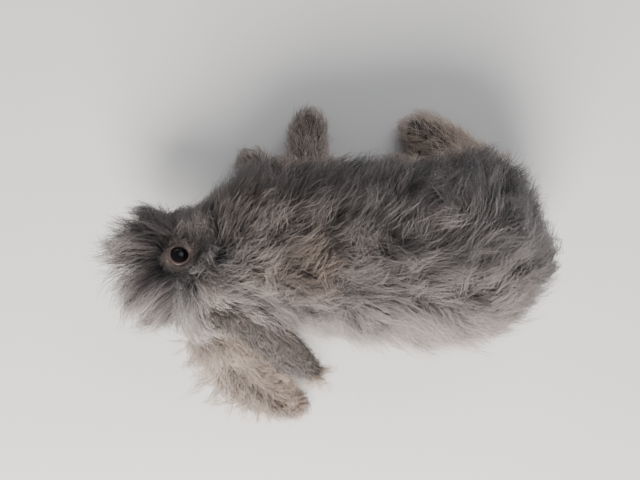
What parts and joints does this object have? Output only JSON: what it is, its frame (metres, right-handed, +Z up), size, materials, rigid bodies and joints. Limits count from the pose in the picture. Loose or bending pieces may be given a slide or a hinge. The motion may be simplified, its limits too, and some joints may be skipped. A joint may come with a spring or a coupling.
{
  "type": "english angora rabbit",
  "caption": "Life-size still model of a long-haired slate-grey rabbit lounging on its side, head turned up and long ears laid back",
  "frame": {"origin": "on the floor at the middle of the flat under the belly", "axes": "+X towards the nose, +Y towards the side that its back faces, +Z up"},
  "size_m": [0.3836, 0.2843, 0.1382],
  "materials": {
    "wool": "long soft wool in loose tapered locks",
    "ear_fur": "short fur with longer fringe",
    "short_fur": "short dense fur",
    "eye_glass": "wet gloss"
  },
  "bodies": {
    "root": {"torso": "wool", "neck": "wool", "head": "wool", "tail": "wool", "ear_right": "ear_fur", "ear_left": "ear_fur", "front_leg_right": "short_fur", "front_leg_left": "short_fur", "hind_leg_right": "short_fur", "hind_leg_left": "short_fur", "eye_right": "eye_glass", "eye_left": "eye_glass"}
  },
  "joints": []
}
